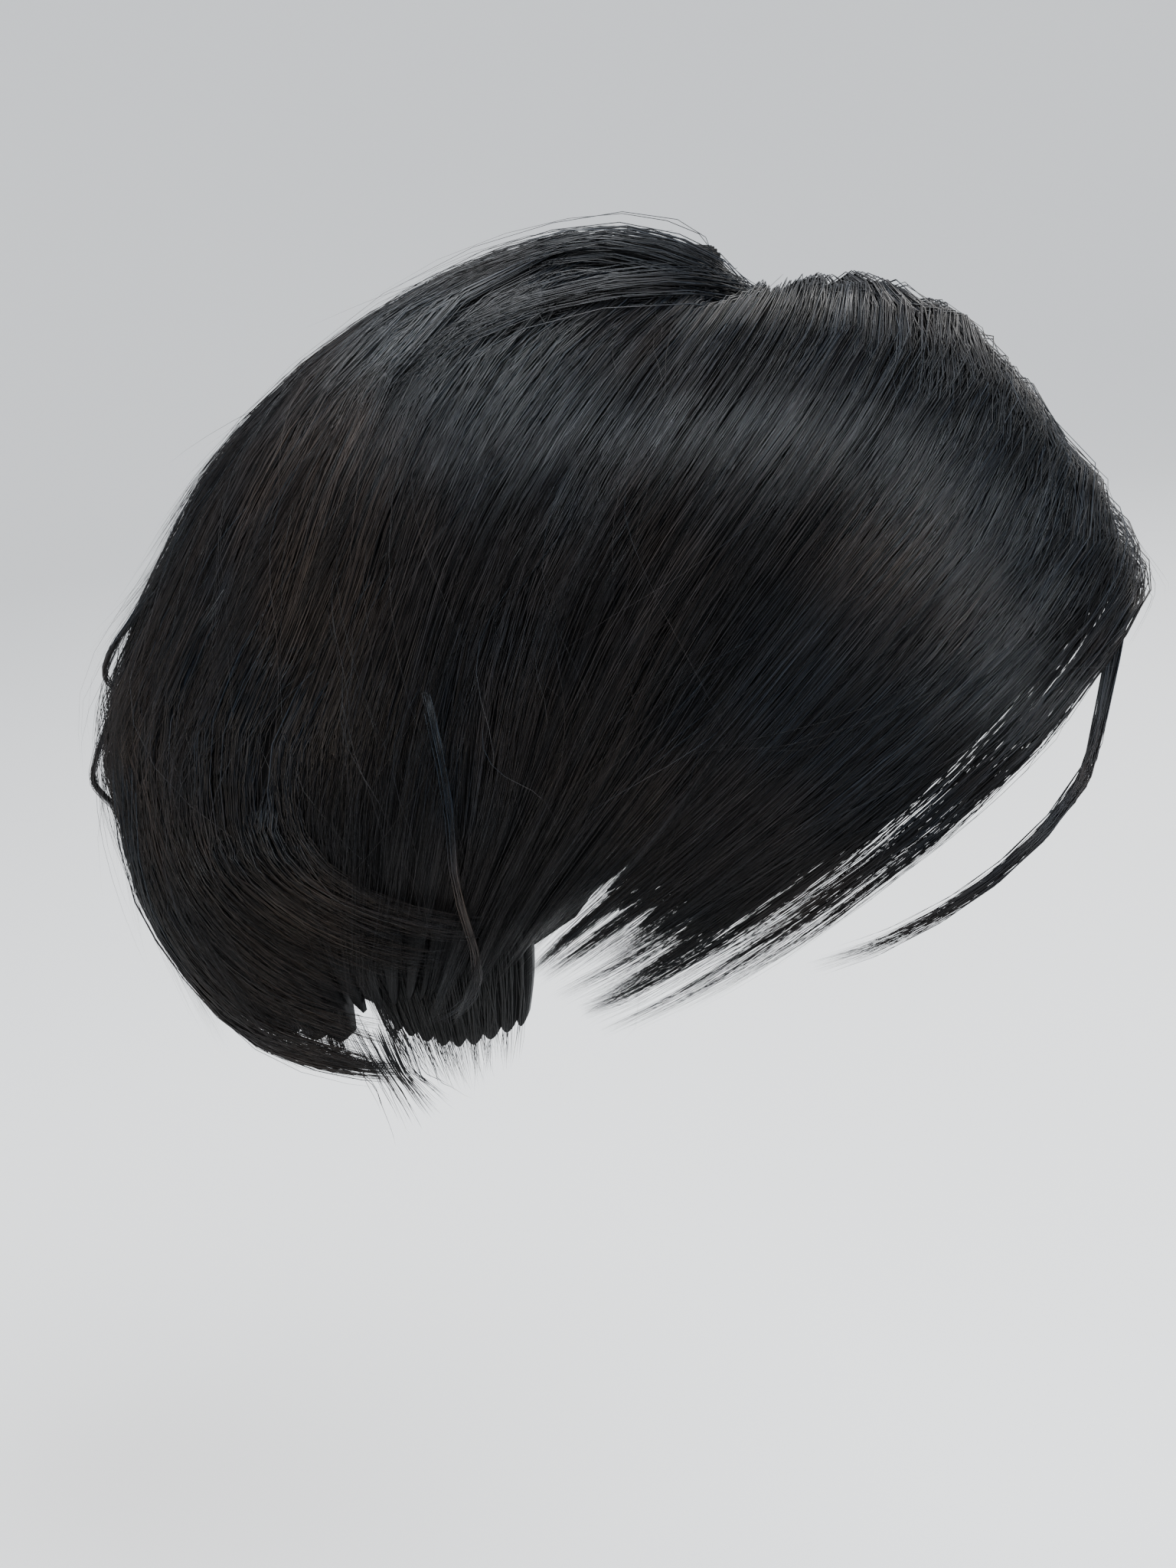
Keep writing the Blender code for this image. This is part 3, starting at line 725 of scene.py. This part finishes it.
def lock_finish(name, colour, roughness):
    """Dark hair under the strands, with fine streaks along the locks."""
    made = Finish(name)
    uv = made.node("ShaderNodeUVMap", {"uv_map": UV_NAME}, {})
    stretched = made.node("ShaderNodeMapping", {}, {"Vector": uv, "Scale": (260.0, 4.0, 1.0)})
    streaks = made.node("ShaderNodeTexNoise", {}, {"Vector": stretched, "Scale": 1.0, "Detail": 4.0})
    dark = tuple(share * 0.45 for share in colour[:3]) + (1.0,)
    made.feed("Base Color", made.ramp(streaks, [(0.35, dark), (0.68, colour)]))
    made.feed("Roughness", streaks * 0.25 + roughness)
    made.feed("Specular IOR Level", 0.12)
    made.feed("Normal", made.bump(streaks, 0.9, 0.0006))
    return made.material


def net_finish(colour):
    """Fine stretch net: crossed threads with small dark meshes."""
    made = Finish("cap_net")
    place = made.node("ShaderNodeTexCoord", {}, {}, 3)
    edges = {"feature": "DISTANCE_TO_EDGE"}
    meshes = made.node("ShaderNodeTexVoronoi", edges, {"Vector": place, "Scale": 620.0})
    threads = made.ramp(meshes, [(0.02, grey(1)), (0.14, grey(0))])
    weft = made.node("ShaderNodeTexNoise", {}, {"Vector": place, "Scale": 90.0, "Detail": 2.0})
    dark = tuple(share * 0.3 for share in colour[:3]) + (1.0,)
    mixed = made.node("ShaderNodeMix", {"data_type": "RGBA"}, {0: threads, 6: dark, 7: colour}, 2)
    made.feed("Base Color", mixed)
    made.feed("Roughness", weft * 0.2 + 0.6)
    made.feed("Specular IOR Level", 0.3)
    made.feed("Normal", made.bump(threads, 0.6, 0.0004))
    return made.material


def floor_finish(colour):
    made = Finish("pale_floor")
    place = made.node("ShaderNodeTexCoord", {}, {}, 3)
    mottle = made.node("ShaderNodeTexNoise", {}, {"Vector": place, "Scale": 1.5, "Detail": 1.0})
    softer = tuple(share * 0.985 for share in colour[:3]) + (1.0,)
    made.feed("Base Color", made.ramp(mottle, [(0.3, softer), (0.7, colour)]))
    made.feed("Roughness", 0.9)
    made.feed("Specular IOR Level", 0.1)
    return made.material


def made_finish(name, maker, *values):
    """The material of this name, made once."""
    return bpy.data.materials.get(name) or maker(*values)


def hair_finishes():
    colours = bpy.context.scene.wig_colours
    black, cool_tone_and_sheen, brown_tone_and_sheen = colours.black[:], colours.cool_tone_and_sheen[:], colours.brown_tone_and_sheen[:]
    # The first number is the share of painted brown sheen: much on the top hair, little on the under hair.
    top = made_finish("top_hair", strand_finish, "top_hair", black, cool_tone_and_sheen, brown_tone_and_sheen, 0.80, 0.30, 0.26)
    under = made_finish("under_hair", strand_finish, "under_hair", black, black, brown_tone_and_sheen, 0.15, 0.45, 0.20)
    return {
        "fringe_hair": top,
        "side_hair": top,
        "crown_hair": top,
        "under_hair": under,
        "locks": made_finish("locks", lock_finish, "locks", black, 0.45),
    }


# Operators

class WIG_OT_stage(bpy.types.Operator):
    """Pale floor that curves up behind, soft lights and the photograph's camera"""

    bl_idname = "wig.stage"
    bl_label = "Stage"

    def execute(self, context):
        scene = context.scene
        back = Vector((
            math.sin(VIEW_AZIMUTH) * math.cos(VIEW_ELEVATION),
            -math.cos(VIEW_AZIMUTH) * math.cos(VIEW_ELEVATION),
            math.sin(VIEW_ELEVATION),
        ))
        right = (-back).cross(Vector((0, 0, 1))).normalized()
        up = right.cross(-back)
        turned_right = right * math.cos(VIEW_ROLL) + up * math.sin(VIEW_ROLL)
        turned_up = up * math.cos(VIEW_ROLL) - right * math.sin(VIEW_ROLL)
        data = bpy.data.cameras.new("camera")
        data.sensor_width = SENSOR_MM
        data.lens = FOCAL_PIXELS / PICTURE_HEIGHT * SENSOR_MM
        data.shift_x = (PICTURE_WIDTH / 2 - MIDDLE_PIXEL_X) / PICTURE_HEIGHT
        data.shift_y = (MIDDLE_PIXEL_Y - PICTURE_HEIGHT / 2) / PICTURE_HEIGHT
        data.clip_start = 0.01
        camera = bpy.data.objects.new("camera", data)
        place = Matrix((turned_right, turned_up, back)).transposed().to_4x4()
        place.translation = WIG_MIDDLE + back * VIEW_DISTANCE
        camera.matrix_world = place
        scene.collection.objects.link(camera)
        scene.camera = camera
        self.backdrop(context)
        self.lights(context)
        return {"FINISHED"}

    def backdrop(self, context):
        """A floor below the held-up wig that turns up at its edge."""
        stage = bmesh.new()
        floor_height = CAD_LOW.z - 0.26
        profile = [(0.0, 0.0), (2.0, 0.0)]
        profile += [(2.0 + math.sin(turn), 1.0 - math.cos(turn)) for turn in np.linspace(0.15, 1.25, 8)]
        points = [stage.verts.new((out, 0.0, floor_height + high)) for out, high in profile]
        edges = [stage.edges.new(pair) for pair in zip(points, points[1:])]
        bmesh.ops.spin(
            stage, geom=points + edges, cent=(0, 0, 0), axis=(0, 0, 1),
            angle=2 * math.pi, steps=64, use_merge=True,
        )
        bmesh.ops.remove_doubles(stage, verts=stage.verts, dist=1e-5)
        bmesh.ops.recalc_face_normals(stage, faces=stage.faces)
        mesh = bpy.data.meshes.new("pale_floor")
        stage.to_mesh(mesh)
        stage.free()
        mesh.shade_smooth()
        mesh.materials.append(floor_finish(context.scene.wig_colours.floor[:]))
        floor = bpy.data.objects.new("pale_floor", mesh)
        context.scene.collection.objects.link(floor)

    def lights(self, context):
        world = bpy.data.worlds.new("studio")
        world.use_nodes = True
        world.node_tree.nodes["Background"].inputs["Color"].default_value = (0.90, 0.93, 1.0, 1.0)
        world.node_tree.nodes["Background"].inputs["Strength"].default_value = 0.75
        context.scene.world = world
        for name, place, size, power, colour in (
            ("top_front_soft", (-0.60, -0.90, 1.10), 0.7, 40.0, (0.84, 0.92, 1.0)),
            ("top_soft", (0.15, 0.25, 1.5), 0.9, 34.0, (0.92, 0.96, 1.0)),
            ("warm_side_soft", (-1.35, 0.75, 0.35), 0.6, 9.0, (1.0, 0.82, 0.66)),
            ("left_fill_soft", (1.3, -0.4, 0.8), 0.9, 14.0, (1.0, 0.98, 0.95)),
        ):
            data = bpy.data.lights.new(name, "AREA")
            data.size = size
            data.energy = power
            data.color = colour
            light = bpy.data.objects.new(name, data)
            light.location = place
            light.rotation_euler = (WIG_MIDDLE - Vector(place)).to_track_quat("-Z", "Y").to_euler()
            context.scene.collection.objects.link(light)


class WIG_OT_cap(bpy.types.Operator):
    """Gives the cap its net"""

    bl_idname = "wig.cap"
    bl_label = "Cap"

    def execute(self, context):
        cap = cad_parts["cap"]
        cap.data.materials.clear()
        cap.data.materials.append(net_finish(context.scene.wig_colours.net[:]))
        return {"FINISHED"}


class WIG_OT_locks(bpy.types.Operator):
    """Dark locks that fill each section of the top and under hair"""

    bl_idname = "wig.locks"
    bl_label = "Locks"

    def execute(self, context):
        sizes = context.scene.wig_sizes
        finishes = hair_finishes()
        for locks in LOCK_SETS:
            self.top_locks(locks, sizes, finishes["locks"])
        for node, guides in UNDER_GUIDES.items():
            self.under_locks(node, guides, finishes["locks"])
        return {"FINISHED"}

    def top_locks(self, locks, sizes, material):
        def place(x, y, side):
            valley = np.abs(2 * ((x * locks.locks) % 1.0) - 1) ** 2
            along = y * locks.reach * (1 - LOCK_NOTCH * valley)
            direction, depth = place_on(TOP_GUIDES, locks.first + x * (locks.last - locks.first), along)
            low = floor_lift(direction)
            full = depth * HAIR_DEPTH
            ripple = 0.5 + 0.5 * np.sin(x * locks.locks * 2 * math.pi * 3.0 + y * 5.0)
            sunk = sizes.base_sink + sizes.lock_ridge * (valley + 0.35 * ripple)
            high = low + np.maximum(full - sunk, full * 0.4)
            thickness = TIP_THICKNESS + (ROOT_THICKNESS - TIP_THICKNESS) * (1 - y) ** THINNING
            return on_head(direction, high if side == "outer" else np.maximum(low, high - thickness))

        piece = lock_piece(
            locks.node + "_locks", locks.locks * 6, 22,
            lambda x, y: place(x, y, "outer"), lambda x, y: place(x, y, "inner"),
            material,
        )
        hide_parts(locks.node)

    def under_locks(self, node, guides, material):
        count = guides.shape[0] * 3

        def place(x, y, side):
            valley = np.abs(2 * ((x * count) % 1.0) - 1) ** 2
            direction, depth = place_on(guides, x * (guides.shape[0] - 1), y * (1 - 0.04 * valley) * 0.74)
            low = CAP_WALL + HAIR_CLEARANCE
            high = low + np.minimum(depth, 1.0) * UNDER_HAIR_DEPTH * (0.78 - 0.2 * valley)
            return on_head(direction, high if side == "outer" else np.full_like(high, low))

        piece = lock_piece(
            node + "_locks", count * 6, 14,
            lambda x, y: place(x, y, "outer"), lambda x, y: place(x, y, "inner"),
            material,
        )
        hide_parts(node)


class WIG_OT_top_strands(bpy.types.Operator):
    """Strands over the fringe, sides, crown and back"""

    bl_idname = "wig.top_strands"
    bl_label = "Top strands"

    def execute(self, context):
        finishes = hair_finishes()
        for seed, strands in enumerate(STRAND_SETS, start=11):
            chance = np.random.default_rng(seed)
            paths, shares = top_strand_paths(chance, strands)
            radii = strand_radii(chance, shares, strands.count, context.scene.wig_sizes.strand_radius)
            strand_piece(strands.name, paths, radii, finishes[strands.slot])
        chance = np.random.default_rng(21)
        paths, shares = turned_strand_paths(chance, TURN_SET)
        radii = strand_radii(chance, shares, TURN_SET.count, context.scene.wig_sizes.strand_radius)
        strand_piece(TURN_SET.name, paths, radii, finishes["crown_hair"])
        return {"FINISHED"}


class WIG_OT_under_strands(bpy.types.Operator):
    """Short strands at the nape and on the ear tabs"""

    bl_idname = "wig.under_strands"
    bl_label = "Under strands"

    def execute(self, context):
        finish = hair_finishes()["under_hair"]
        for seed, strands in enumerate(UNDER_SETS, start=31):
            chance = np.random.default_rng(seed)
            paths, shares = under_strand_paths(chance, UNDER_GUIDES[strands.node], strands)
            radii = strand_radii(chance, shares, strands.count, context.scene.wig_sizes.strand_radius)
            strand_piece(strands.node + "_strands", paths, radii, finish)
        return {"FINISHED"}


class WIG_OT_loose_hair(bpy.types.Operator):
    """Bundles that leave the sections, hairs that cross the locks and hairs that stand off"""

    bl_idname = "wig.loose_hair"
    bl_label = "Loose hair"

    def execute(self, context):
        sizes = context.scene.wig_sizes
        finishes = hair_finishes()
        for seed, bundle in enumerate(BUNDLES, start=51):
            chance = np.random.default_rng(seed)
            paths, shares = bundle_paths(chance, bundle)
            radii = strand_radii(chance, shares, bundle.count, bundle.radius)
            slot = "fringe_hair" if bundle.name in BUNDLE_NODES else "crown_hair"
            piece = strand_piece(bundle.name, paths, radii, finishes[slot])
            if bundle.name in BUNDLE_NODES:
                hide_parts(BUNDLE_NODES[bundle.name])
        for name, count, crossing, seed in (
            ("standing_hairs", sizes.loose_hairs, False, 71),
            ("crossing_hairs", sizes.crossing_hairs, True, 72),
        ):
            chance = np.random.default_rng(seed)
            paths, shares = loose_hair_paths(chance, count, crossing)
            radii = strand_radii(chance, shares, count, sizes.loose_radius)
            strand_piece(name, paths, radii, finishes["crown_hair"])
        return {"FINISHED"}


class WIG_PT_panel(bpy.types.Panel):
    """Builds the wig's looks step by step"""

    bl_idname = "WIG_PT_panel"
    bl_label = "Wig"
    bl_space_type = "VIEW_3D"
    bl_region_type = "UI"
    bl_category = "Wig"

    def draw(self, context):
        for step in STEPS:
            self.layout.operator(step.bl_idname)


STEPS = (
    WIG_OT_stage, WIG_OT_cap, WIG_OT_locks, WIG_OT_top_strands, WIG_OT_under_strands, WIG_OT_loose_hair,
)
CLASSES = (WigSizes, WigColours) + STEPS + (WIG_PT_panel,)


def register():
    for item in CLASSES:
        bpy.utils.register_class(item)
    bpy.types.Scene.wig_sizes = bpy.props.PointerProperty(type=WigSizes)
    bpy.types.Scene.wig_colours = bpy.props.PointerProperty(type=WigColours)


def unregister():
    del bpy.types.Scene.wig_colours
    del bpy.types.Scene.wig_sizes
    for item in reversed(CLASSES):
        bpy.utils.unregister_class(item)


def main():
    register()
    bpy.ops.wig.stage()
    bpy.ops.wig.cap()
    bpy.ops.wig.locks()
    bpy.ops.wig.top_strands()
    bpy.ops.wig.under_strands()
    bpy.ops.wig.loose_hair()
    bpy.context.view_layer.update()


if __name__ == "__main__":
    main()
